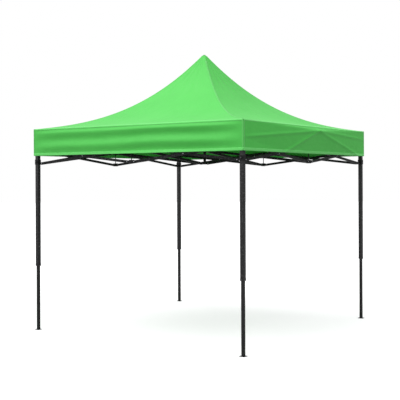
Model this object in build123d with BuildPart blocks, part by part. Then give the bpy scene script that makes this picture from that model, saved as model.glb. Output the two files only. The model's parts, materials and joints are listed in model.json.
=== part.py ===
from build123d import *
import os
from math import cos, degrees, atan2, hypot, radians, sin

# A pop-up canopy: four telescoping legs, a folding truss of crossed bars round the
# sides and across the middle, a centre mast, and a peaked fabric roof with a valance.
# Millimetres, +Z up, origin on the ground under the mast, front side towards -Y.

# ---------------------------------------------------------------- driving dimensions
LEG_AXIS = 1466.0          # from the middle of the canopy to each leg's axis, in X and Y
EAVE_HALF = 1500.0         # half the fabric's width at the eave
EAVE_Z = 2440.0            # where the roof meets the valance
VALANCE_Z = 2117.0         # bottom edge of the valance
PEAK_Z = 3415.0
FABRIC = 1.2               # fabric thickness

UPPER_PIVOT_Z = 2180.0     # brackets, upper connectors and upper hub
LOWER_PIVOT_Z = 2025.0     # sliders, lower connectors and lower hub, truss open
HUB_REACH = 65.0           # from a leg's or the mast's axis to a bar's pivot
CONNECTOR_REACH = 50.0     # from a side connector's axis to a bar's pivot

OUTER_LEG = 46.0           # square tubes: outside width
INNER_LEG = 33.0
LEG_WALL = 1.0
OUTER_LEG_BOTTOM = 777.0
OUTER_LEG_TOP = 2426.0
INNER_LEG_TOP = 1010.0
INNER_CORNER = 3.0
FOOT_PLATE = 70.0
FOOT_THICK = 4.0
FOOT_CORNER = 8.0
STAKE_HOLE_R = 5.0
STAKE_HOLE_OFFSET = 26.0

BAR_DEPTH = 30.0           # truss bars: rectangular tube
BAR_THICK = 14.0
BAR_WALL = 0.8
BAR_CORNER = 2.4           # radius of the tube's long edges
BAR_GAP = 2.0              # between the two bars of a crossed pair
BAR_OVERHANG = 14.0        # past the end pivots, plug included

BOLT_R = 3.0
SNUG_HOLE_R = 3.08         # pivots that carry the motion
OPEN_HOLE_R = 3.5          # pivots that only close a loop
EAR_THICK = 3.5
EAR_R = 12.5
EAR_CLEARANCE = 0.5        # each side of a bar, between the ears

MAST_R = 14.0
MAST_WALL = 1.5
MAST_TOP = 3384.0          # tube end; the domed plug stands above it
MAST_PLUG_DEPTH = 30.0
MAST_PLUG_SLACK = 0.2

# ---------------------------------------------------------------- derived dimensions
BAR_SIDE = (BAR_THICK + BAR_GAP) / 2            # a bar's middle plane, off its truss plane
EAR_GAP = BAR_THICK + 2 * EAR_CLEARANCE
CORNERS = {
    "front_left": (-1, -1),
    "front_right": (1, -1),
    "back_right": (1, 1),
    "back_left": (-1, 1),
}
SIDES = {
    "front": Vector(0, -1, 0),
    "right": Vector(1, 0, 0),
    "back": Vector(0, 1, 0),
    "left": Vector(-1, 0, 0),
}
UP = Vector(0, 0, 1)

os.makedirs("parts", exist_ok=True)


def write_node(label, *pieces):
    """One STEP file: a single piece, or a group of pieces that stay separate solids."""
    solids = [solid for piece in pieces for solid in piece.solids()]
    node = Compound(solids)
    node.label = label
    export_step(node, f"parts/{label}.step")


def square_tube(width, wall, corner, bottom, top):
    """An upright square tube at the origin, from bottom to top."""
    with BuildPart() as tube:
        with BuildSketch(Plane.XY.offset(bottom)):
            RectangleRounded(width, width, corner)
            RectangleRounded(width - 2 * wall, width - 2 * wall, corner - wall, mode=Mode.SUBTRACT)
        extrude(amount=top - bottom)
    return tube.part


# ---------------------------------------------------------------- pivots
def ear_pair(pivot, outward, axis, root):
    """Two lugs round a bar's end: root is how far back from the pivot they reach."""
    with BuildPart() as ears:
        for inner_face in (EAR_GAP / 2, -EAR_GAP / 2 - EAR_THICK):
            with BuildSketch(Plane(origin=pivot + axis * inner_face, x_dir=outward, z_dir=axis)):
                with Locations((-root / 2, 0)):
                    Rectangle(root, 2 * EAR_R)
                Circle(EAR_R)
                Circle(SNUG_HOLE_R, mode=Mode.SUBTRACT)
            extrude(amount=EAR_THICK)
    return ears.part


def pivot_bolt(pivot, axis, grip):
    """A domed bolt through a pivot, with its nut: grip is the thickness that they hold."""
    head_r, head_height = 5.6, 3.4
    nut_r, nut_height = 5.8, 4.6
    thread_end = 1.4
    with BuildPart() as bolt:
        with BuildSketch(Plane(origin=pivot - axis * (grip / 2), z_dir=axis)):
            Circle(BOLT_R)
        extrude(amount=grip + nut_height + thread_end)
        with BuildSketch(Plane(origin=pivot - axis * (grip / 2), z_dir=-axis)):
            Circle(head_r)
        extrude(amount=head_height)
        dome_edge = edges().filter_by(GeomType.CIRCLE).sort_by(Axis(pivot, axis))[0]
        fillet(dome_edge, head_height * 0.6)
    with BuildPart() as nut:
        with BuildSketch(Plane(origin=pivot + axis * (grip / 2), z_dir=axis)):
            RegularPolygon(nut_r, 6)
            Circle(BOLT_R + 0.05, mode=Mode.SUBTRACT)
        extrude(amount=nut_height)
    return [bolt.part, nut.part]


CLEVIS_GRIP = EAR_GAP + 2 * EAR_THICK
CROSSING_GRIP = 2 * BAR_THICK + BAR_GAP


# ---------------------------------------------------------------- truss bars
def truss_bar(label, start, end, axis, holes, crossing_bolt=None):
    """A rectangular tube with plugged ends. axis is across the bar; holes are the radii of
    its start, middle and end pivots. crossing_bolt is the middle pivot's point, if the
    bolt there is fixed to this bar."""
    along = (end - start).normalized()
    length = (end - start).length
    cap, plug_depth, plug_slack = 2.0, 5.0, 0.4
    tube_end = BAR_OVERHANG - cap
    inside = (BAR_THICK - 2 * BAR_WALL, BAR_DEPTH - 2 * BAR_WALL)
    plug_size = [width - plug_slack for width in inside]
    with BuildPart() as tube:
        with BuildSketch(Plane(origin=start - along * tube_end, x_dir=axis, z_dir=along)):
            RectangleRounded(BAR_THICK, BAR_DEPTH, BAR_CORNER)
            RectangleRounded(*inside, BAR_CORNER - BAR_WALL, mode=Mode.SUBTRACT)
        extrude(amount=length + 2 * tube_end)
        for place, hole_r in zip((0, length / 2, length), holes):
            with BuildSketch(Plane(origin=start + along * place, x_dir=along, z_dir=axis)):
                Circle(hole_r)
            extrude(amount=BAR_THICK, both=True, mode=Mode.SUBTRACT)
    pieces = [tube.part]
    for tip, outward in ((start, -along), (end, along)):
        with BuildPart() as plug:
            with BuildSketch(Plane(origin=tip + outward * tube_end, x_dir=axis, z_dir=outward)):
                RectangleRounded(BAR_THICK, BAR_DEPTH, BAR_CORNER)
            extrude(amount=cap)
            fillet(faces().sort_by(Axis(tip, outward))[-1].edges(), cap * 0.6)
            with BuildSketch(Plane(origin=tip + outward * tube_end, x_dir=axis, z_dir=-outward)):
                RectangleRounded(*plug_size, BAR_CORNER - BAR_WALL - plug_slack / 2)
            extrude(amount=plug_depth)
        pieces.append(plug.part)
    if crossing_bolt is not None:
        pieces += pivot_bolt(crossing_bolt, axis, CROSSING_GRIP)
    write_node(label, *pieces)


for side, outward in SIDES.items():
    # The pair that crosses from the middle of a side to the centre hubs.
    across = UP.cross(outward)
    hub_high = outward * HUB_REACH + UP * UPPER_PIVOT_Z + across * BAR_SIDE
    hub_low = outward * HUB_REACH + UP * LOWER_PIVOT_Z - across * BAR_SIDE
    side_high = outward * (LEG_AXIS - CONNECTOR_REACH) + UP * UPPER_PIVOT_Z - across * BAR_SIDE
    side_low = outward * (LEG_AXIS - CONNECTOR_REACH) + UP * LOWER_PIVOT_Z + across * BAR_SIDE
    crossing = (hub_high + hub_low + side_high + side_low) * 0.25
    truss_bar(
        f"{side}_upper_hub_bar", hub_high, side_low, across,
        (SNUG_HOLE_R, SNUG_HOLE_R, SNUG_HOLE_R), crossing,
    )
    hub_hole_r = SNUG_HOLE_R if side == "front" else OPEN_HOLE_R
    truss_bar(
        f"{side}_lower_hub_bar", hub_low, side_high, across,
        (hub_hole_r, SNUG_HOLE_R, SNUG_HOLE_R),
    )

    # The two pairs that run along the side, from its middle to the corner each way.
    for corner_side, towards in SIDES.items():
        if abs(towards.dot(outward)) > 0.5:
            continue
        base = outward * LEG_AXIS
        middle = base + towards * CONNECTOR_REACH
        corner = base + towards * (LEG_AXIS - HUB_REACH)
        slider_bar_start = middle + UP * UPPER_PIVOT_Z - outward * BAR_SIDE
        slider_bar_end = corner + UP * LOWER_PIVOT_Z - outward * BAR_SIDE
        bracket_bar_start = middle + UP * LOWER_PIVOT_Z + outward * BAR_SIDE
        bracket_bar_end = corner + UP * UPPER_PIVOT_Z + outward * BAR_SIDE
        crossing = (slider_bar_start + slider_bar_end + bracket_bar_start + bracket_bar_end) * 0.25
        corner_hole_r = SNUG_HOLE_R if side in ("front", "back") else OPEN_HOLE_R
        truss_bar(
            f"{side}_{corner_side}_slider_bar", slider_bar_start, slider_bar_end, outward,
            (SNUG_HOLE_R, SNUG_HOLE_R, corner_hole_r), crossing,
        )
        truss_bar(
            f"{side}_{corner_side}_bracket_bar", bracket_bar_start, bracket_bar_end, outward,
            (SNUG_HOLE_R, OPEN_HOLE_R, corner_hole_r),
        )


# ---------------------------------------------------------------- side connectors
CORE = 46.0                # the square block that a connector's ears grow from
CORE_HEIGHT = 40.0
CORE_CORNER = 5.0
CORE_TOP = 5.0             # left over the hollow in its underside
CORE_HOLLOW_R = 9.0
EAR_SINK = 3.0             # how far ears run into the block that they grow from
POST_R = 5.0               # the stop post between a lower and an upper connector
POST_GAP = 1.0             # left between the post and the upper connector

for side, outward in SIDES.items():
    across = UP.cross(outward)
    for level, pivot_z, side_plane, hub_plane in (
        ("upper", UPPER_PIVOT_Z, -BAR_SIDE, -BAR_SIDE),
        ("lower", LOWER_PIVOT_Z, BAR_SIDE, BAR_SIDE),
    ):
        middle = outward * LEG_AXIS + UP * pivot_z
        pivots = [
            (middle + across * CONNECTOR_REACH + outward * side_plane, across, outward),
            (middle - across * CONNECTOR_REACH + outward * side_plane, -across, outward),
            (middle - outward * CONNECTOR_REACH + across * hub_plane, -outward, across),
        ]
        with BuildPart() as connector:
            with BuildSketch(Plane(origin=middle, x_dir=outward, z_dir=UP)):
                RectangleRounded(CORE, CORE, CORE_CORNER)
            extrude(amount=CORE_HEIGHT / 2, both=True)
            fillet(faces().sort_by(Axis.Z)[-1].edges(), 2)
            with BuildSketch(Plane(origin=middle - UP * (CORE_HEIGHT / 2), z_dir=UP)):
                Circle(CORE_HOLLOW_R)
            extrude(amount=CORE_HEIGHT - CORE_TOP, mode=Mode.SUBTRACT)
            for pivot, reach_dir, axis in pivots:
                add(ear_pair(pivot, reach_dir, axis, CONNECTOR_REACH - CORE / 2 + EAR_SINK))
        fittings = []
        for pivot, reach_dir, axis in pivots:
            fittings += pivot_bolt(pivot, axis, CLEVIS_GRIP)
        if level == "lower":
            post_height = UPPER_PIVOT_Z - LOWER_PIVOT_Z - CORE_HEIGHT - POST_GAP
            with BuildPart() as post:
                with BuildSketch(Plane(origin=middle + UP * (CORE_HEIGHT / 2), z_dir=UP)):
                    Circle(POST_R)
                extrude(amount=post_height)
                chamfer(edges().filter_by(GeomType.CIRCLE).sort_by(Axis.Z)[-1], 1)
            fittings.append(post.part)
        write_node(f"{side}_{level}_connector", connector.part, *fittings)


# ---------------------------------------------------------------- centre hubs and mast
HUB_CORE_R = 36.0
HUB_HEIGHT = 26.0
GUIDE_CLEARANCE = 0.5      # between the mast and the upper hub
GUIDE_BOTTOM = 2050.0     # just clear of the lower hub
GUIDE_WALL = 3.0
MAST_SEAT = 4.0            # the lower hub's floor, which the mast stands on
MAST_BOTTOM = LOWER_PIVOT_Z - HUB_HEIGHT / 2 + MAST_SEAT

for level, pivot_z, plane_sign, bore_r, bore_bottom in (
    ("upper", UPPER_PIVOT_Z, 1, MAST_R + GUIDE_CLEARANCE, GUIDE_BOTTOM),
    ("lower", LOWER_PIVOT_Z, -1, MAST_R, MAST_BOTTOM),
):
    pivots = []
    for outward in SIDES.values():
        across = UP.cross(outward)
        middle = outward * HUB_REACH + UP * pivot_z
        pivots.append((middle + across * (plane_sign * BAR_SIDE), outward, across))
    with BuildPart() as hub:
        with BuildSketch(Plane.XY.offset(pivot_z - HUB_HEIGHT / 2)):
            Circle(HUB_CORE_R)
        extrude(amount=HUB_HEIGHT)
        chamfer(edges().filter_by(GeomType.CIRCLE), 1.5)
        if level == "upper":
            with BuildSketch(Plane.XY.offset(GUIDE_BOTTOM)):
                Circle(bore_r + GUIDE_WALL)
            extrude(amount=pivot_z - GUIDE_BOTTOM)
        with BuildSketch(Plane.XY.offset(bore_bottom)):
            Circle(bore_r)
        extrude(amount=pivot_z + HUB_HEIGHT - bore_bottom, mode=Mode.SUBTRACT)
        for pivot, reach_dir, axis in pivots:
            add(ear_pair(pivot, reach_dir, axis, HUB_REACH - HUB_CORE_R + 2 * EAR_SINK))
    bolts = []
    for pivot, reach_dir, axis in pivots:
        bolts += pivot_bolt(pivot, axis, CLEVIS_GRIP)
    write_node(f"{level}_hub", hub.part, *bolts)

with BuildPart() as mast:
    with BuildSketch(Plane.XY.offset(MAST_BOTTOM)):
        Circle(MAST_R)
        Circle(MAST_R - MAST_WALL, mode=Mode.SUBTRACT)
    extrude(amount=MAST_TOP - MAST_BOTTOM)
with BuildPart() as mast_plug:
    with BuildSketch(Plane.XZ):
        with BuildLine():
            Line((0, MAST_TOP), (MAST_R, MAST_TOP))
            ThreePointArc(
                (MAST_R, MAST_TOP),
                (MAST_R * sin(radians(45)), MAST_TOP + MAST_R * sin(radians(45))),
                (0, MAST_TOP + MAST_R),
            )
            Line((0, MAST_TOP + MAST_R), (0, MAST_TOP))
        make_face()
    revolve(axis=Axis.Z)
    with BuildSketch(Plane.XY.offset(MAST_TOP)):
        Circle(MAST_R - MAST_WALL - MAST_PLUG_SLACK)
    extrude(amount=-MAST_PLUG_DEPTH)
write_node("mast", mast.part, mast_plug.part)


# ---------------------------------------------------------------- legs
BRACKET_WIDTH = 54.0
BRACKET_HEIGHT = 50.0
LEG_CORNER = 4.0           # radius of the outer leg's edges
SLEEVE_CORNER = 6.0        # and of the sleeves round it
SLEEVE_EDGE = 1.5
SLIDER_WIDTH = 55.0
SLIDER_BELOW = 14.0        # below and above its pivots
SLIDER_ABOVE = 46.0
SLIDER_BORE = OUTER_LEG + 1.0
BOSS_R = 13.0              # the round boss that holds the slider's button
BOSS_PROUD = 8.0
SLIDER_BUTTON_Z = LOWER_PIVOT_Z + 20.0
COLLAR_WIDTH = 49.0
COLLAR_HEIGHT = 26.0
COLLAR_BORE = INNER_LEG + 1.0
LEG_CAP = 7.0
LEG_BUTTON_Z = OUTER_LEG_BOTTOM + COLLAR_HEIGHT / 2

# Each button: its shank's radius, its flange's radius, and the depth of the shoulder.
SLIDER_BUTTON = (7.9, 9.0, 3.0)
LEG_BUTTON = (5.0, 6.5, 2.0)
BUTTON_PROUD = 5.0
BUTTON_SLACK = 0.3         # round a button's shank, and between its flange and shoulder


def button_bore(mouth, outward, shank_r, flange_r, shoulder, depth):
    """The stepped hole that a button sits in: its shank's hole, then its flange's room."""
    with BuildPart() as bore:
        with BuildSketch(Plane(origin=mouth, z_dir=-outward)):
            Circle(shank_r + BUTTON_SLACK)
        extrude(amount=depth)
        with BuildSketch(Plane(origin=mouth - outward * shoulder, z_dir=-outward)):
            Circle(flange_r + 2 * BUTTON_SLACK)
        extrude(amount=depth - shoulder)
    return bore.part


def push_button(label, mouth, outward, shank_r, flange_r, shoulder, flange_thick):
    """A button whose flange stays behind the shoulder and whose cap stands proud."""
    flange_top = mouth - outward * (shoulder + BUTTON_SLACK)
    with BuildPart() as button:
        with BuildSketch(Plane(origin=flange_top, z_dir=outward)):
            Circle(shank_r)
        extrude(amount=shoulder + BUTTON_SLACK + BUTTON_PROUD)
        fillet(faces().sort_by(Axis(flange_top, outward))[-1].edges(), 1.2)
        with BuildSketch(Plane(origin=flange_top, z_dir=-outward)):
            Circle(flange_r)
        extrude(amount=flange_thick)
    write_node(label, button.part)


for corner, (x_sign, y_sign) in CORNERS.items():
    leg_axis = Vector(x_sign * LEG_AXIS, y_sign * LEG_AXIS, 0)
    along_x = Vector(-x_sign, 0, 0)              # from the leg towards its two neighbours
    along_y = Vector(0, -y_sign, 0)
    button_dir = Vector(0, y_sign, 0)            # the leg's outer face, where the buttons are
    move = Location(leg_axis)

    # Outer leg: tube, a collar that guides the inner leg, and a cap on top.
    leg_tube = move * square_tube(
        OUTER_LEG, LEG_WALL, LEG_CORNER, OUTER_LEG_BOTTOM + COLLAR_HEIGHT, OUTER_LEG_TOP,
    )
    with BuildPart() as collar:
        with BuildSketch(Plane(origin=leg_axis + UP * OUTER_LEG_BOTTOM, z_dir=UP)):
            RectangleRounded(COLLAR_WIDTH, COLLAR_WIDTH, LEG_CORNER + 1)
        extrude(amount=COLLAR_HEIGHT)
        chamfer(faces().sort_by(Axis.Z)[0].edges(), 2)
        with BuildSketch(Plane(origin=leg_axis + UP * OUTER_LEG_BOTTOM, z_dir=UP)):
            Rectangle(COLLAR_BORE, COLLAR_BORE)
        extrude(amount=COLLAR_HEIGHT, mode=Mode.SUBTRACT)
        collar_mouth = leg_axis + button_dir * (COLLAR_WIDTH / 2) + UP * LEG_BUTTON_Z
        add(button_bore(collar_mouth, button_dir, *LEG_BUTTON, COLLAR_WIDTH / 2), mode=Mode.SUBTRACT)
    with BuildPart() as leg_cap:
        with BuildSketch(Plane(origin=leg_axis + UP * OUTER_LEG_TOP, z_dir=UP)):
            RectangleRounded(OUTER_LEG, OUTER_LEG, LEG_CORNER)
        extrude(amount=LEG_CAP)
        fillet(faces().sort_by(Axis.Z)[-1].edges(), LEG_CORNER * 0.75)
    write_node(f"{corner}_outer_leg", leg_tube, collar.part, leg_cap.part)
    push_button(f"{corner}_leg_button", collar_mouth, button_dir, *LEG_BUTTON, 1.5)

    # Corner bracket: a sleeve riveted to the outer leg, holding the two bracket bars.
    bracket_pivots = [
        (leg_axis + along_x * HUB_REACH + UP * UPPER_PIVOT_Z - along_y * BAR_SIDE, along_x, -along_y),
        (leg_axis + along_y * HUB_REACH + UP * UPPER_PIVOT_Z - along_x * BAR_SIDE, along_y, -along_x),
    ]
    with BuildPart() as bracket:
        with BuildSketch(Plane(origin=leg_axis + UP * (UPPER_PIVOT_Z - BRACKET_HEIGHT / 2), z_dir=UP)):
            RectangleRounded(BRACKET_WIDTH, BRACKET_WIDTH, SLEEVE_CORNER)
        extrude(amount=BRACKET_HEIGHT)
        fillet(faces().sort_by(Axis.Z)[-1].edges(), SLEEVE_EDGE)
        with BuildSketch(Plane(origin=leg_axis + UP * (UPPER_PIVOT_Z - BRACKET_HEIGHT / 2), z_dir=UP)):
            RectangleRounded(OUTER_LEG, OUTER_LEG, LEG_CORNER)
        extrude(amount=BRACKET_HEIGHT, mode=Mode.SUBTRACT)
        for pivot, reach_dir, axis in bracket_pivots:
            add(ear_pair(pivot, reach_dir, axis, HUB_REACH - BRACKET_WIDTH / 2 + EAR_SINK))
    bolts = []
    for pivot, reach_dir, axis in bracket_pivots:
        bolts += pivot_bolt(pivot, axis, CLEVIS_GRIP)
    write_node(f"{corner}_corner_bracket", bracket.part, *bolts)

    # Slider: a sleeve that runs on the outer leg, holding the two slider bars.
    slider_pivots = [
        (leg_axis + along_x * HUB_REACH + UP * LOWER_PIVOT_Z + along_y * BAR_SIDE, along_x, along_y),
        (leg_axis + along_y * HUB_REACH + UP * LOWER_PIVOT_Z + along_x * BAR_SIDE, along_y, along_x),
    ]
    with BuildPart() as slider:
        with BuildSketch(Plane(origin=leg_axis + UP * (LOWER_PIVOT_Z - SLIDER_BELOW), z_dir=UP)):
            RectangleRounded(SLIDER_WIDTH, SLIDER_WIDTH, SLEEVE_CORNER)
        extrude(amount=SLIDER_BELOW + SLIDER_ABOVE)
        fillet(faces().sort_by(Axis.Z)[-1].edges(), SLEEVE_EDGE)
        slider_mouth = leg_axis + button_dir * (SLIDER_WIDTH / 2 + BOSS_PROUD) + UP * SLIDER_BUTTON_Z
        with BuildSketch(Plane(origin=slider_mouth, z_dir=-button_dir)):
            Circle(BOSS_R)
        extrude(amount=BOSS_PROUD + BUTTON_SLACK + EAR_SINK)
        for pivot, reach_dir, axis in slider_pivots:
            add(ear_pair(pivot, reach_dir, axis, HUB_REACH - SLIDER_WIDTH / 2 + EAR_SINK))
        with BuildSketch(Plane(origin=leg_axis + UP * (LOWER_PIVOT_Z - SLIDER_BELOW), z_dir=UP)):
            Rectangle(SLIDER_BORE, SLIDER_BORE)
        extrude(amount=SLIDER_BELOW + SLIDER_ABOVE, mode=Mode.SUBTRACT)
        add(button_bore(slider_mouth, button_dir, *SLIDER_BUTTON, 2 * BOSS_PROUD), mode=Mode.SUBTRACT)
    bolts = []
    for pivot, reach_dir, axis in slider_pivots:
        bolts += pivot_bolt(pivot, axis, CLEVIS_GRIP)
    write_node(f"{corner}_slider", slider.part, *bolts)
    push_button(f"{corner}_slider_button", slider_mouth, button_dir, *SLIDER_BUTTON, 3.0)

    # Inner leg: tube with a foot plate welded under it, drilled for ground stakes.
    with BuildPart() as inner_leg:
        with BuildSketch(Plane(origin=leg_axis, z_dir=UP)):
            RectangleRounded(FOOT_PLATE, FOOT_PLATE, FOOT_CORNER)
            for hand in (1, -1):
                with Locations((hand * STAKE_HOLE_OFFSET, hand * STAKE_HOLE_OFFSET)):
                    Circle(STAKE_HOLE_R, mode=Mode.SUBTRACT)
        extrude(amount=FOOT_THICK)
        with BuildSketch(Plane(origin=leg_axis + UP * FOOT_THICK, z_dir=UP)):
            RectangleRounded(INNER_LEG, INNER_LEG, INNER_CORNER)
            inside = INNER_LEG - 2 * LEG_WALL
            RectangleRounded(inside, inside, INNER_CORNER - LEG_WALL, mode=Mode.SUBTRACT)
        extrude(amount=INNER_LEG_TOP - FOOT_THICK)
    write_node(f"{corner}_inner_leg", inner_leg.part)


# ---------------------------------------------------------------- canopy
def roof_height(inward):
    """Height of the roof at a fraction inward from the eave (0) to the peak (1)."""
    return EAVE_Z + (PEAK_Z - EAVE_Z) * (0.22 * inward + 0.78 * inward**2.6)


ROOF_BANDS = 4             # each roof panel is built in bands, so that each stays nearly flat
BAND_STEPS = 3
INNER_HALF = EAVE_HALF - FABRIC
panels = []
for side, outward in SIDES.items():
    across = UP.cross(outward)
    for band in range(ROOF_BANDS):
        inwards = [(band + step / BAND_STEPS) / ROOF_BANDS for step in range(BAND_STEPS + 1)]
        curve = [((1 - inward) * EAVE_HALF, roof_height(inward)) for inward in inwards]
        underside = [(x, z - FABRIC) for x, z in reversed(curve)]
        with BuildPart() as roof_band:
            with BuildSketch(Plane(origin=(0, 0, 0), x_dir=outward, z_dir=-across)):
                with BuildLine():
                    Spline(*curve)
                    Line(curve[-1], underside[0])
                    Spline(*underside)
                    Line(underside[-1], curve[0])
                make_face()
            extrude(amount=EAVE_HALF, both=True)
            for hand in (1, -1):
                hip = Plane(origin=(0, 0, 0), z_dir=outward + across * hand)
                split(bisect_by=hip, keep=Keep.TOP)
        panels.append(roof_band.part)
    with BuildPart() as valance:
        with BuildSketch(Plane(origin=UP * VALANCE_Z, x_dir=outward, z_dir=UP)):
            with BuildLine():
                Polyline(
                    (EAVE_HALF, EAVE_HALF), (EAVE_HALF, -EAVE_HALF),
                    (INNER_HALF, -INNER_HALF), (INNER_HALF, INNER_HALF),
                    close=True,
                )
            make_face()
        extrude(amount=EAVE_Z - FABRIC - VALANCE_Z)
    panels.append(valance.part)
write_node("canopy", *panels)

bar_run = LEG_AXIS - HUB_REACH - CONNECTOR_REACH
bar_rise = UPPER_PIVOT_Z - LOWER_PIVOT_Z
print("bar pivot to pivot", round(hypot(bar_run, bar_rise), 1))
print("truss angle when open", round(degrees(atan2(bar_rise, bar_run)), 3))
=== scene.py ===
import json
import math

import bmesh
import bpy
import numpy as np
from mathutils import Matrix, Vector

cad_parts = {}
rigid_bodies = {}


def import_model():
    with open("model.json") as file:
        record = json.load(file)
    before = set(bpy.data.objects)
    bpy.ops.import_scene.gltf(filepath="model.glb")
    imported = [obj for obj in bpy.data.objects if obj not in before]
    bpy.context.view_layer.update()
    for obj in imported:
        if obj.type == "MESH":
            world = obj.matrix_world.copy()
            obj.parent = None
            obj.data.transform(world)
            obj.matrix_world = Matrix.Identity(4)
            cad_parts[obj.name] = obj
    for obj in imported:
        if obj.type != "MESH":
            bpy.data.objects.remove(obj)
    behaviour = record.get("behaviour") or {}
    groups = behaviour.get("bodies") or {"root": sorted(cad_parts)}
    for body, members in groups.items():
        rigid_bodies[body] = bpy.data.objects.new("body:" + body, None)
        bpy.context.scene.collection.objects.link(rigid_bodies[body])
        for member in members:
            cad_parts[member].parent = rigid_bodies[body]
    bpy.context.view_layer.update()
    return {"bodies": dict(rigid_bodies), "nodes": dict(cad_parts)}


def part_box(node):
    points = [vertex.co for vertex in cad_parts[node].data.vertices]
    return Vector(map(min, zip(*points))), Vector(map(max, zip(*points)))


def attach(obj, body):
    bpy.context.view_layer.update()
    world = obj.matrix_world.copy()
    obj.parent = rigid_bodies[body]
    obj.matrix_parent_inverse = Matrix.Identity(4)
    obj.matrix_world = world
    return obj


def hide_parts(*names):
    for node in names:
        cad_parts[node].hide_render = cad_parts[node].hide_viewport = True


# A pop-up canopy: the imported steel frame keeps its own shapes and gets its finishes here,
# and the fabric top is built here as one sheet. Metres, +Z up, front side towards -Y.

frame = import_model()
scene = bpy.context.scene
rng = np.random.default_rng(7)

# ---------------------------------------------------------------- sizes from the frame
CANOPY_LOW, CANOPY_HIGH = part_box("canopy")
EAVE_HALF = CANOPY_HIGH.x
VALANCE_Z = CANOPY_LOW.z
PEAK_Z = CANOPY_HIGH.z
MAST_TOP_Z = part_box("mast")[1].z
INNER_LEG_LOW, INNER_LEG_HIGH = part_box("front_right_inner_leg")
LEG_AXIS = INNER_LEG_LOW.x + (INNER_LEG_HIGH.x - INNER_LEG_LOW.x) / 2
EAVE_OVER_LEG = 0.007      # the eave's height over the outer leg's top
EAVE_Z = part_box("front_right_outer_leg")[1].z + EAVE_OVER_LEG
VALANCE_DROP = EAVE_Z - VALANCE_Z
CLOTH = 0.0012             # thickness of the fabric as shown

SIDES = {
    "front": Vector((0, -1, 0)),
    "right": Vector((1, 0, 0)),
    "back": Vector((0, 1, 0)),
    "left": Vector((-1, 0, 0)),
}
UP = Vector((0, 0, 1))
CORNERS = {
    "front_left": (-1, -1),
    "front_right": (1, -1),
    "back_right": (1, 1),
    "back_left": (-1, 1),
}


# ---------------------------------------------------------------- camera, light and floor
CAMERA_DISTANCE, CAMERA_HEIGHT = 10.93, 1.82
CAMERA_AZIMUTH, CAMERA_TURN, CAMERA_ROLL = 34.19, 0.32, 0.24
CAMERA_LENS, CAMERA_SHIFT_Y = 77.8, -0.051


def make_camera():
    azimuth, turn, roll = (math.radians(a) for a in (CAMERA_AZIMUTH, CAMERA_TURN, CAMERA_ROLL))
    data = bpy.data.cameras.new("photo_camera")
    data.sensor_width = 36.0
    data.lens = CAMERA_LENS
    data.shift_y = CAMERA_SHIFT_Y
    data.clip_end = 200
    camera = bpy.data.objects.new("photo_camera", data)
    scene.collection.objects.link(camera)
    away = Vector((math.sin(azimuth), -math.cos(azimuth), 0))
    forward = Matrix.Rotation(turn, 3, "Z") @ -away
    right = forward.cross(UP)
    tilt = Matrix.Rotation(roll, 3, forward)
    right, up = tilt @ right, tilt @ UP
    camera.rotation_mode = "QUATERNION"
    camera.rotation_quaternion = Matrix((right, up, -forward)).transposed().to_quaternion()
    camera.location = away * CAMERA_DISTANCE + UP * CAMERA_HEIGHT
    scene.camera = camera


def make_light():
    scene.view_settings.view_transform = "Standard"
    world = bpy.data.worlds.new("studio")
    scene.world = world
    world.use_nodes = True
    nodes, links = world.node_tree.nodes, world.node_tree.links
    nodes.clear()
    seen = nodes.new("ShaderNodeBackground")
    seen.inputs["Color"].default_value = (1, 1, 1, 1)
    seen.inputs["Strength"].default_value = 1.0
    fill = nodes.new("ShaderNodeBackground")
    fill.inputs["Color"].default_value = (0.98, 0.99, 1, 1)
    direction = nodes.new("ShaderNodeTexCoord").outputs["Generated"]
    facing = nodes.new("ShaderNodeVectorMath")
    facing.operation = "DOT_PRODUCT"
    links.new(direction, facing.inputs[0])
    facing.inputs[1].default_value = (-0.47, -0.50, 0.72)
    glow = nodes.new("ShaderNodeMapRange")
    glow.inputs["From Min"].default_value = -0.8
    glow.inputs["From Max"].default_value = 0.9
    glow.inputs["To Min"].default_value = 0.20
    glow.inputs["To Max"].default_value = 1.05
    links.new(facing.outputs["Value"], glow.inputs["Value"])
    links.new(glow.outputs["Result"], fill.inputs["Strength"])
    path = nodes.new("ShaderNodeLightPath")
    mix = nodes.new("ShaderNodeMixShader")
    out = nodes.new("ShaderNodeOutputWorld")
    links.new(path.outputs["Is Camera Ray"], mix.inputs["Fac"])
    links.new(fill.outputs["Background"], mix.inputs[1])
    links.new(seen.outputs["Background"], mix.inputs[2])
    links.new(mix.outputs["Shader"], out.inputs["Surface"])

    def sun(name, energy, angle, towards):
        data = bpy.data.lights.new(name, "SUN")
        data.energy = energy
        data.angle = math.radians(angle)
        lamp = bpy.data.objects.new(name, data)
        scene.collection.objects.link(lamp)
        lamp.rotation_mode = "QUATERNION"
        lamp.rotation_quaternion = Vector(towards).to_track_quat("-Z", "Y")

    sun("key", 1.40, 60, (0.42, 0.38, -1.0))
    sun("side_fill", 0.75, 50, (-0.68, 0.15, -1.0))


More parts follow.
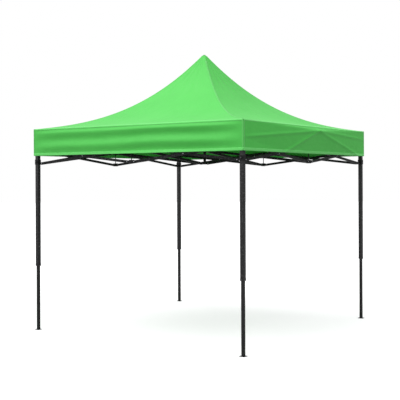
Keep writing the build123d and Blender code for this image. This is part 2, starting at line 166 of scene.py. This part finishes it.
def make_floor():
    bpy.ops.mesh.primitive_circle_add(vertices=96, radius=60, fill_type="NGON")
    floor = bpy.context.object
    floor.name = "studio_floor"
    material, nodes, links, shader = new_material("floor")
    shader.inputs["Base Color"].default_value = (0.72, 0.72, 0.72, 1)
    shader.inputs["Roughness"].default_value = 0.9
    shader.inputs["Emission Color"].default_value = (1, 1, 1, 1)
    shader.inputs["Emission Strength"].default_value = 0.38
    dim = nodes.new("ShaderNodeBsdfDiffuse")
    dim.inputs["Color"].default_value = (0.34, 0.34, 0.34, 1)
    path = nodes.new("ShaderNodeLightPath")
    mix = nodes.new("ShaderNodeMixShader")
    links.new(path.outputs["Is Camera Ray"], mix.inputs["Fac"])
    links.new(dim.outputs["BSDF"], mix.inputs[1])
    links.new(shader.outputs["BSDF"], mix.inputs[2])
    links.new(mix.outputs["Shader"], nodes["Material Output"].inputs["Surface"])
    floor.data.materials.append(material)


# ---------------------------------------------------------------- materials
def new_material(name):
    material = bpy.data.materials.new(name)
    material.use_nodes = True
    nodes, links = material.node_tree.nodes, material.node_tree.links
    return material, nodes, links, nodes["Principled BSDF"]


def math_node(nodes, links, operation, a, b=None):
    node = nodes.new("ShaderNodeMath")
    node.operation = operation
    for socket, value in zip(node.inputs, (a, b)):
        if value is None:
            continue
        if isinstance(value, (int, float)):
            socket.default_value = value
        else:
            links.new(value, socket)
    return node.outputs[0]


def noise(nodes, links, vector, scale, detail=3.0, roughness=0.5):
    node = nodes.new("ShaderNodeTexNoise")
    node.inputs["Scale"].default_value = scale
    node.inputs["Detail"].default_value = detail
    node.inputs["Roughness"].default_value = roughness
    links.new(vector, node.inputs["Vector"])
    return node.outputs["Fac"]


def ramp(nodes, links, factor, stops):
    node = nodes.new("ShaderNodeValToRGB")
    elements = node.color_ramp.elements
    while len(elements) < len(stops):
        elements.new(0.5)
    for element, (place, colour) in zip(elements, stops):
        element.position = place
        element.color = (*colour, 1)
    links.new(factor, node.inputs["Fac"])
    return node.outputs["Color"]


def bump(nodes, links, shader, height, distance, strength=1.0, under=None):
    node = nodes.new("ShaderNodeBump")
    node.inputs["Distance"].default_value = distance
    node.inputs["Strength"].default_value = strength
    links.new(height, node.inputs["Height"])
    if under is not None:
        links.new(under, node.inputs["Normal"])
    links.new(node.outputs["Normal"], shader.inputs["Normal"])
    return node.outputs["Normal"]


def canvas_material(name, light, dark, thread=0.0016):
    """Coated woven polyester: a plain weave, faint slubs, and slow changes of colour."""
    material, nodes, links, shader = new_material(name)
    uv = nodes.new("ShaderNodeUVMap").outputs["UV"]
    place = nodes.new("ShaderNodeTexCoord").outputs["Object"]
    split = nodes.new("ShaderNodeSeparateXYZ")
    links.new(uv, split.inputs[0])
    warp, weft = (
        math_node(nodes, links, "SINE",
                  math_node(nodes, links, "MULTIPLY", split.outputs[i], math.tau / thread))
        for i in (0, 1)
    )
    weave = math_node(nodes, links, "MULTIPLY", warp, weft)
    cloud = noise(nodes, links, place, 1.7, 5.0, 0.6)
    slub = noise(nodes, links, place, 95.0, 2.0)
    mixed = math_node(nodes, links, "ADD", math_node(nodes, links, "MULTIPLY", cloud, 0.72),
                      math_node(nodes, links, "MULTIPLY", slub, 0.28))
    colour = ramp(nodes, links, mixed, ((0.32, dark), (0.68, light)))
    links.new(colour, shader.inputs["Base Color"])
    shader.inputs["Roughness"].default_value = 0.58
    shader.inputs["Specular IOR Level"].default_value = 0.42
    shader.inputs["Sheen Weight"].default_value = 0.12
    shader.inputs["Sheen Roughness"].default_value = 0.4
    shader.inputs["Sheen Tint"].default_value = (0.75, 1.0, 0.75, 1)
    ripple = noise(nodes, links, place, 9.0, 4.0, 0.55)
    soft = bump(nodes, links, shader, ripple, 0.006, 0.35)
    bump(nodes, links, shader, weave, 0.0003, 0.5, soft)
    return material


def tape_material(name, colour, thread_colour):
    """Binding tape: UV runs along it in metres and across it from 0 to 1, with a row of
    stitches near each edge."""
    material, nodes, links, shader = new_material(name)
    uv = nodes.new("ShaderNodeUVMap").outputs["UV"]
    split = nodes.new("ShaderNodeSeparateXYZ")
    links.new(uv, split.inputs[0])
    along, across = split.outputs[0], split.outputs[1]
    pitch, stitch = 0.006, 0.7
    phase = math_node(nodes, links, "FRACT", math_node(nodes, links, "DIVIDE", along, pitch))
    dash = math_node(nodes, links, "LESS_THAN", phase, stitch)
    mirrored = math_node(nodes, links, "PINGPONG", across, 0.5)
    row = math_node(nodes, links, "COMPARE", mirrored, 0.16)
    row.node.inputs[2].default_value = 0.035
    thread = math_node(nodes, links, "MULTIPLY", dash, row)
    rib = math_node(nodes, links, "SINE", math_node(nodes, links, "MULTIPLY", along, math.tau / 0.0018))
    mix = nodes.new("ShaderNodeMix")
    mix.data_type = "RGBA"
    mix.inputs["A"].default_value = (*colour, 1)
    mix.inputs["B"].default_value = (*thread_colour, 1)
    links.new(thread, mix.inputs["Factor"])
    links.new(mix.outputs["Result"], shader.inputs["Base Color"])
    shader.inputs["Roughness"].default_value = 0.66
    shader.inputs["Sheen Weight"].default_value = 0.2
    ribs = bump(nodes, links, shader, rib, 0.0003, 0.5)
    bump(nodes, links, shader, thread, 0.0007, 0.8, ribs)
    return material


def powder_coat(name, base, worn, roughness, grain, shine_level):
    """Black powder coat: orange-peel grain, faint dust on it, and rubbed edges."""
    material, nodes, links, shader = new_material(name)
    place = nodes.new("ShaderNodeTexCoord").outputs["Object"]
    peel = noise(nodes, links, place, 420.0 * grain, 2.0)
    dust = noise(nodes, links, place, 6.0, 6.0, 0.65)
    edge = nodes.new("ShaderNodeNewGeometry").outputs["Pointiness"]
    rub = math_node(nodes, links, "MULTIPLY", math_node(nodes, links, "GREATER_THAN", edge, 0.58),
                    math_node(nodes, links, "GREATER_THAN", noise(nodes, links, place, 45.0), 0.56))
    mix = nodes.new("ShaderNodeMix")
    mix.data_type = "RGBA"
    links.new(rub, mix.inputs["Factor"])
    dusty = tuple(1.3 * c + 0.0005 for c in base)
    links.new(ramp(nodes, links, dust, ((0.3, base), (0.75, dusty))), mix.inputs["A"])
    mix.inputs["B"].default_value = (*worn, 1)
    links.new(mix.outputs["Result"], shader.inputs["Base Color"])
    shine = ramp(nodes, links, dust, ((0.3, (roughness,) * 3), (0.75, (roughness + 0.06,) * 3)))
    links.new(shine, shader.inputs["Roughness"])
    shader.inputs["Specular IOR Level"].default_value = shine_level
    bump(nodes, links, shader, peel, 0.00006, 0.25)
    return material


def moulded_plastic(name, base, roughness):
    """Glass-filled nylon: fine spark grain and slight flow marks."""
    material, nodes, links, shader = new_material(name)
    place = nodes.new("ShaderNodeTexCoord").outputs["Object"]
    grain = noise(nodes, links, place, 900.0, 2.0)
    flow = noise(nodes, links, place, 28.0, 4.0, 0.6)
    links.new(ramp(nodes, links, flow, ((0.3, base), (0.7, tuple(1.45 * c + 0.001 for c in base)))),
              shader.inputs["Base Color"])
    links.new(ramp(nodes, links, flow, ((0.3, (roughness,) * 3), (0.7, (roughness + 0.1,) * 3))),
              shader.inputs["Roughness"])
    shader.inputs["Specular IOR Level"].default_value = 0.25
    bump(nodes, links, shader, grain, 0.00012, 0.7)
    return material


def zinc_plate(name):
    """Bright zinc on bolts and nuts, a little dulled and scratched."""
    material, nodes, links, shader = new_material(name)
    place = nodes.new("ShaderNodeTexCoord").outputs["Object"]
    spangle = noise(nodes, links, place, 160.0, 4.0)
    links.new(ramp(nodes, links, spangle, ((0.3, (0.42, 0.43, 0.44)), (0.7, (0.66, 0.67, 0.68)))),
              shader.inputs["Base Color"])
    links.new(ramp(nodes, links, spangle, ((0.3, (0.26,) * 3), (0.7, (0.42,) * 3))),
              shader.inputs["Roughness"])
    shader.inputs["Metallic"].default_value = 1.0
    bump(nodes, links, shader, spangle, 0.00008, 0.5)
    return material


make_camera()
make_light()
make_floor()

GREEN = (0.080, 0.590, 0.082)
GREEN_DEEP = (0.064, 0.535, 0.067)
canvas = canvas_material("green_canvas", GREEN, GREEN_DEEP)
tape = tape_material("green_tape", (0.082, 0.575, 0.085), (0.14, 0.66, 0.145))
# Lighter than the canvas: a painted highlight along the eave bindings; the hems get the same lighter
# tape.
highlight_tape = tape_material("painted_highlight_green_tape", (0.115, 0.70, 0.12), (0.2, 0.8, 0.21))
leg_coat = powder_coat("leg_powder_coat", (0.004, 0.004, 0.0043), (0.03, 0.03, 0.032), 0.24, 0.8, 0.5)
bar_coat = powder_coat("bar_powder_coat", (0.003, 0.003, 0.0033), (0.03, 0.03, 0.032), 0.34, 1.0, 0.22)
plastic = moulded_plastic("black_nylon", (0.005, 0.005, 0.0055), 0.46)
button_plastic = moulded_plastic("grey_nylon", (0.055, 0.056, 0.058), 0.38)
zinc = zinc_plate("zinc_plate")


# ---------------------------------------------------------------- finishes of the CAD nodes
def islands(mesh):
    """For each face, the number of the closed piece that it belongs to."""
    coords = {}
    parent = list(range(len(mesh.vertices)))

    def root(i):
        while parent[i] != i:
            parent[i] = parent[parent[i]]
            i = parent[i]
        return i

    for vertex in mesh.vertices:
        key = tuple(round(c, 6) for c in vertex.co)
        parent[vertex.index] = coords.setdefault(key, vertex.index)
    for edge in mesh.edges:
        a, b = (root(v) for v in edge.vertices)
        parent[a] = b
    return [root(face.vertices[0]) for face in mesh.polygons]


SMALL_ACROSS, SMALL_LONG, PLUG_LONG = 0.0135, 0.045, 0.032


def finish_node(name, coat, small_coat=None, plug_coat=None):
    """Gives a CAD node its finish. Its small closed pieces, the bolts and nuts, can have
    one of their own, and so can the plugs in a tube's ends. Sizes are in metres."""
    node = frame["nodes"][name]
    node.data.materials.clear()
    for material in (coat, small_coat or coat, plug_coat or coat):
        node.data.materials.append(material)
    if small_coat is None and plug_coat is None:
        return
    piece_of = islands(node.data)
    spans = {}
    for face, piece in zip(node.data.polygons, piece_of):
        points = [node.data.vertices[i].co for i in face.vertices]
        low, high = spans.get(piece, (points[0].copy(), points[0].copy()))
        for p in points:
            low = Vector(map(min, low, p))
            high = Vector(map(max, high, p))
        spans[piece] = (low, high)
    for face, piece in zip(node.data.polygons, piece_of):
        size = sorted(spans[piece][1] - spans[piece][0])
        is_small = size[1] < SMALL_ACROSS and size[2] < SMALL_LONG
        is_plug = not is_small and size[2] < PLUG_LONG
        if is_small:
            face.material_index = 1
        elif is_plug:
            face.material_index = 2


for name in frame["nodes"]:
    if name == "canopy":
        continue
    if name.endswith("_button"):
        finish_node(name, button_plastic)
    elif name.endswith(("_inner_leg", "_outer_leg")) or name == "mast":
        finish_node(name, leg_coat, plug_coat=plastic)
    elif name.endswith("_bar"):
        finish_node(name, bar_coat, small_coat=zinc, plug_coat=plastic)
    else:
        finish_node(name, plastic, small_coat=zinc)


# ---------------------------------------------------------------- the fabric's shape
def roof_height(inward):
    """Height of the roof along its hips, from the eave (0) to the peak (1)."""
    return EAVE_Z + (PEAK_Z - EAVE_Z) * (0.22 * inward + 0.78 * inward**2.6)


def smooth_noise(shape, passes):
    """A field of seeded noise, blurred and scaled to -1..1."""
    field = rng.normal(size=shape)
    for _ in range(passes):
        field = blurred(field)
    return field / np.abs(field).max()


def blurred(field):
    """Each value averaged with its four neighbours."""
    padded = np.pad(field, 1, mode="edge")
    above, below = padded[:-2, 1:-1], padded[2:, 1:-1]
    before, after = padded[1:-1, :-2], padded[1:-1, 2:]
    return (above + below + before + after + 4 * padded[1:-1, 1:-1]) / 8


def tent_field(u, v, points, triangles):
    """Height over the (u, v) grid of a surface pulled straight between a few points."""
    field = np.zeros(u.shape)
    for corners in triangles:
        (ua, va, ha), (ub, vb, hb), (uc, vc, hc) = (points[c] for c in corners)
        det = (vb - vc) * (ua - uc) + (uc - ub) * (va - vc)
        a = ((vb - vc) * (u - uc) + (uc - ub) * (v - vc)) / det
        b = ((vc - va) * (u - uc) + (ua - uc) * (v - vc)) / det
        c = 1 - a - b
        inside = (a >= -1e-6) & (b >= -1e-6) & (c >= -1e-6)
        field = np.where(inside, a * ha + b * hb + c * hc, field)
    return field


def pushed_valance(u, v, push, start, end):
    """A valance that the connector in the middle of its side pushes out near the eave.
    start and end are how far down the corners the fold from that point meets."""
    points = {
        "push": (0.06, 0.17, push),
        "start": (-1, start, 0.0),
        "end": (1, end, 0.0),
        "top_start": (-1, 0, 0),
        "top_mid": (0.0, 0, 0.010),
        "top_end": (1, 0, 0),
        "low_start": (-1, 1, 0),
        "low_a": (-0.42, 1, -0.004),
        "low_b": (0.25, 1, -0.008),
        "low_c": (0.88, 1, -0.002),
        "low_end": (1, 1, 0),
    }
    triangles = [
        ("top_start", "top_mid", "push"), ("top_start", "push", "start"),
        ("top_mid", "top_end", "push"), ("top_end", "end", "push"),
        ("start", "push", "low_a"), ("start", "low_a", "low_start"),
        ("push", "low_b", "low_a"), ("push", "low_c", "low_b"),
        ("push", "end", "low_c"), ("end", "low_end", "low_c"),
    ]
    return blurred(blurred(tent_field(u, v, points, triangles)))


def creased_valance(u, v, depth):
    """A valance with two long soft folds along it, from how it was packed."""
    drift = 0.035 * np.sin(2.1 * u + 0.6) + 0.012 * np.sin(7.0 * u)
    folds = 0.8 - np.sin(math.tau * (v - 0.28 + drift) / 0.5)
    fade = 1 - np.abs(u) ** 6
    return depth * folds * fade * np.clip(v / 0.16, 0, 1) * (0.85 + 0.15 * np.sin(3.3 * u))


def crease(u, v, start, end, height, width=0.05):
    """A sharp fold raised along the straight line between two places on a valance."""
    half = EAVE_HALF / VALANCE_DROP
    (u0, v0), (u1, v1) = start, end
    du, dv = (u1 - u0) * half, v1 - v0
    along = ((u - u0) * half * du + (v - v0) * dv) / (du * du + dv * dv)
    off = np.hypot((u - u0) * half - np.clip(along, 0, 1) * du, v - v0 - np.clip(along, 0, 1) * dv)
    return height * np.exp(-((off / width) ** 2)) * np.clip(4 * (1 - np.abs(u)) + 0.25, 0, 1)


def tented_valance(u, v, push, start, end):
    """A pushed valance with folds that run out from the connector behind it."""
    apex = (0.06, 0.17)
    folds = [((-1, start), 0.008), ((1, end), 0.008), ((-0.42, 1.0), 0.009), ((0.9, 1.0), 0.008)]
    field = pushed_valance(u, v, push, start, end)
    for end_place, height in folds:
        field = field + crease(u, v, apex, end_place, height)
    return field


VALANCE_STYLE = {
    "front": lambda u, v: creased_valance(u, v, 0.013),
    "right": lambda u, v: tented_valance(u, v, 0.064, 0.56, 0.34),
    "back": lambda u, v: creased_valance(-u, v, 0.008) + crease(u, v, (0.1, 0.2), (-0.8, 1.0), 0.005),
    "left": lambda u, v: tented_valance(-u, v, 0.040, 0.5, 0.4),
}

ACROSS = 168               # grid steps along a side
RISE = 72                  # up the roof
FALL = 40                  # down the valance
TIP_LIFT = 0.004           # the peak's limit over the mast's top
TIP_ROUND = 0.02           # how far below that limit the peak starts to round off


def side_grids(side):
    """The roof gore and the valance of one side, as (rows, columns, 3) grids of points, and
    their flat places in the cloth. Columns run along the side, seen from outside from left
    to right; roof rows run from the eave to the peak, valance rows from the eave down."""
    outward = np.array(SIDES[side])
    along = np.array(UP.cross(SIDES[side]))
    u_line = np.sin(np.linspace(-1, 1, ACROSS + 1) * math.pi / 2)
    u_line = 0.55 * u_line + 0.45 * np.linspace(-1, 1, ACROSS + 1)

    inward = np.linspace(0, 1, RISE + 1) ** 0.92
    u, s = np.meshgrid(u_line, inward)
    reach = EAVE_HALF * (1 - s)
    belly = 0.012 * (1 - u**2) * np.sin(math.pi * s) ** 1.2
    height = roof_height(s)
    tip = MAST_TOP_Z + TIP_LIFT
    rounded = tip - TIP_ROUND + TIP_ROUND * np.tanh((height - tip + TIP_ROUND) / 0.03)
    height = np.where(height > tip - TIP_ROUND, rounded, height)
    wrinkle = smooth_noise(u.shape, 10) * 0.0022 * (1 - u**4)
    waves = np.sin(17 * u + 2.0 * math.sin(len(side)) + 1.5 * s)
    pull = 0.0035 * waves * (1 - u**2) * np.clip((s - 0.55) / 0.3, 0, 1)
    pull = pull * np.clip((0.985 - s) / 0.05, 0, 1)
    height = height + belly + (wrinkle + pull) * np.clip(s / 0.06, 0, 1)
    roof = outward * reach[..., None] + along * (u * reach)[..., None]
    roof = roof + np.array(UP) * height[..., None]

    u2, v = np.meshgrid(u_line, np.linspace(0, 1, FALL + 1))
    push = VALANCE_STYLE[side](u2, v)
    push = push + smooth_noise(u2.shape, 6) * 0.0015 * (1 - u2**4) * np.clip(v / 0.1, 0, 1)
    push[0] = 0
    push = push * np.clip((1 - np.abs(u2)) / 0.01, 0, 1)
    drop = VALANCE_DROP * v
    valance = outward * (EAVE_HALF + push)[..., None] + along * (u2 * EAVE_HALF)[..., None]
    valance = valance + np.array(UP) * (EAVE_Z - drop)[..., None]
    roof_flat = np.stack([u * reach, arc_length(roof)], axis=-1)
    valance_flat = np.stack([u2 * EAVE_HALF, -drop], axis=-1)
    return roof, roof_flat, valance, valance_flat


def arc_length(grid):
    """Distance up each column from its first row."""
    steps = np.linalg.norm(np.diff(grid, axis=0), axis=2)
    return np.vstack([np.zeros((1, grid.shape[1])), np.cumsum(steps, axis=0)])


# ---------------------------------------------------------------- fabric that folds
PLEATS = 16                # round the folded cloth
PLEAT_DEPTH = 0.16         # how much less of the motion a point on a pleat's ridge takes


def share_of(points):
    """How much of each body's motion a point of the cloth takes: the four legs, the four
    upper connectors and the mast share it by where the point lies in plan. The cloth stays
    on the legs and the connectors, and bulges out in pleats between them."""
    fx = np.clip(np.abs(points[:, 0]) / LEG_AXIS, 0, 1)
    fy = np.clip(np.abs(points[:, 1]) / LEG_AXIS, 0, 1)
    angle = np.arctan2(points[:, 1], points[:, 0])
    gather = np.clip(np.maximum(fx, fy), 0, 1)
    pleat = 0.5 - 0.5 * np.cos(PLEATS * angle)
    shares = {}
    for corner, (x_sign, y_sign) in CORNERS.items():
        near = (points[:, 0] * x_sign >= 0) & (points[:, 1] * y_sign >= 0)
        shares[f"{corner}_leg"] = np.where(near, fx * fy, 0)
    for side, outward in SIDES.items():
        facing = points[:, 0] * outward.x + points[:, 1] * outward.y
        mine, other = (fx, fy) if abs(outward.x) > 0.5 else (fy, fx)
        shares[f"{side}_upper_connector"] = np.where(facing >= 0, mine * (1 - other), 0)
    shares["lower_hub"] = np.clip(1 - gather / 0.9, 0, 1) ** 1.5
    slack = 1 - PLEAT_DEPTH * pleat * gather**1.5
    for body in shares:
        if body != "lower_hub":
            shares[body] = shares[body] * slack
    return shares


def follow_frame(piece):
    """Lets a piece of the cloth gather with the frame: it rides on the centre hub, and hooks
    draw each of its points along with the legs, the upper connectors and the mast."""
    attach(piece, "centre_hub")
    points = np.array([v.co for v in piece.data.vertices])
    for body, weights in share_of(points).items():
        group = piece.vertex_groups.new(name=body)
        for index in np.nonzero(weights > 1e-4)[0]:
            group.add([int(index)], float(weights[index]), "REPLACE")
        hook = piece.modifiers.new(f"hook_{body}", "HOOK")
        hook.object = frame["bodies"][body]
        hook.vertex_group = body
        hook.matrix_inverse = Matrix.Identity(4)


def grid_mesh(name, grids, flats, material):
    """One mesh from grids of points, welded where they meet."""
    verts, faces, uvs = [], [], []
    index = {}
    for grid, flat in zip(grids, flats):
        rows, columns = grid.shape[:2]
        ids = np.zeros((rows, columns), int)
        for r in range(rows):
            for c in range(columns):
                key = tuple(np.round(grid[r, c], 5))
                if key not in index:
                    index[key] = len(verts)
                    verts.append(tuple(grid[r, c]))
                ids[r, c] = index[key]
        for r in range(rows - 1):
            for c in range(columns - 1):
                loop = [(r, c), (r, c + 1), (r + 1, c + 1), (r + 1, c)]
                face, face_uv = [], []
                for place in loop:
                    if ids[place] not in face:
                        face.append(ids[place])
                        face_uv.append(tuple(flat[place]))
                if len(face) >= 3:
                    faces.append([int(i) for i in face])
                    uvs += face_uv
    mesh = bpy.data.meshes.new(name)
    mesh.from_pydata(verts, [], faces)
    layer = mesh.uv_layers.new(name="UVMap")
    for place, uv in zip(layer.data, uvs):
        place.uv = uv
    mesh.materials.append(material)
    for face in mesh.polygons:
        face.use_smooth = True
    mesh.update()
    piece = bpy.data.objects.new(name, mesh)
    scene.collection.objects.link(piece)
    return piece


def outward_faces(piece, centre):
    """Turns the faces so that they look away from the centre."""
    work = bmesh.new()
    work.from_mesh(piece.data)
    for face in work.faces:
        if face.normal.dot(face.calc_center_median() - centre) < 0:
            face.normal_flip()
    work.to_mesh(piece.data)
    work.free()


def thicken(piece, thickness, offset):
    solid = piece.modifiers.new("cloth", "SOLIDIFY")
    solid.thickness = thickness
    solid.offset = offset
    solid.use_even_offset = False


CLOTH_CENTRE = Vector((0, 0, EAVE_Z - 0.35))   # a point that every panel faces away from
grids = {}
roofs, roof_flats, valances, valance_flats = [], [], [], []
for side in SIDES:
    roof, roof_flat, valance, valance_flat = side_grids(side)
    grids[side] = (roof, valance)
    roofs.append(roof)
    roof_flats.append(roof_flat)
    valances.append(valance[::-1])
    valance_flats.append(valance_flat[::-1])

top = grid_mesh("canopy_top", roofs + valances, roof_flats + valance_flats, canvas)
outward_faces(top, CLOTH_CENTRE)
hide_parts("canopy")
follow_frame(top)
thicken(top, CLOTH, -1)


# ---------------------------------------------------------------- hem and seam bindings
TAPE_LIFT = 0.0011         # a binding's face over the cloth
HEM_ROWS = 4
EAVE_ROWS = 2
HIP_WIDTH = 0.028


def normals_of(grid, outward):
    """A unit normal for each point of a grid, on the outward side."""
    across = np.gradient(grid, axis=1)
    down = np.gradient(grid, axis=0)
    normal = np.cross(across, down)
    length = np.linalg.norm(normal, axis=2, keepdims=True)
    normal = normal / np.maximum(length, 1e-9)
    facing = np.sign((normal * outward).sum(axis=2, keepdims=True))
    return normal * np.where(facing == 0, 1, facing)


def binding(name, grid, material):
    """A tape sewn on along a grid of points: its rows run along the tape."""
    along = arc_length(grid.transpose(1, 0, 2)).T
    across = np.repeat(np.linspace(0, 1, grid.shape[0])[:, None], grid.shape[1], axis=1)
    piece = grid_mesh(name, [grid], [np.stack([along, across], axis=-1)], material)
    outward_faces(piece, CLOTH_CENTRE)
    follow_frame(piece)
    thicken(piece, TAPE_LIFT * 0.8, -1)
    return piece


for side, outward in SIDES.items():
    roof, valance = grids[side]
    facing = np.array(outward)
    lifted = valance + normals_of(valance, facing) * TAPE_LIFT
    binding(f"{side}_hem", lifted[-HEM_ROWS - 1:], highlight_tape)
    roof_lifted = roof + normals_of(roof, facing + np.array(UP)) * TAPE_LIFT
    # The eave binding's lighter colour is a painted highlight along the eave.
    eave = np.concatenate([roof_lifted[EAVE_ROWS:0:-1], lifted[:EAVE_ROWS + 1]])
    binding(f"{side}_eave_binding", eave, highlight_tape)


def hip_strip(side, hand):
    """Half a hip's tape, on one gore: along its edge, from the eave to near the peak."""
    roof = grids[side][0]
    rows = roof[: int(RISE * 0.97)]
    lifted = rows + normals_of(rows, np.array(SIDES[side]) + np.array(UP)) * TAPE_LIFT
    edge = 0 if hand < 0 else -1
    inward = rows[:, ACROSS // 2] - rows[:, edge]
    width = np.linalg.norm(inward, axis=1, keepdims=True)
    step = inward / np.maximum(width, 1e-9) * np.minimum(HIP_WIDTH / 2, 0.5 * width)
    return np.stack([lifted[:, edge], lifted[:, edge] + step])


ORDER = list(SIDES)
for number, side in enumerate(ORDER):
    neighbour = ORDER[(number + 1) % 4]
    mine, theirs = hip_strip(side, 1), hip_strip(neighbour, -1)
    ridge = (mine[0] + theirs[0]) / 2
    hip = np.stack([mine[1], ridge, theirs[1]])
    binding(f"{side}_{neighbour}_hip_binding", hip, tape)
    valance, other = grids[side][1], grids[neighbour][1]
    turn = (np.array(SIDES[side]) + np.array(SIDES[neighbour])) * TAPE_LIFT
    mine_side = valance[:, -3] + np.array(SIDES[side]) * TAPE_LIFT
    their_side = other[:, 2] + np.array(SIDES[neighbour]) * TAPE_LIFT
    corner = valance[:, -1] + turn
    wrap = np.stack([mine_side, corner, their_side])
    binding(f"{side}_{neighbour}_corner_binding", wrap, tape)
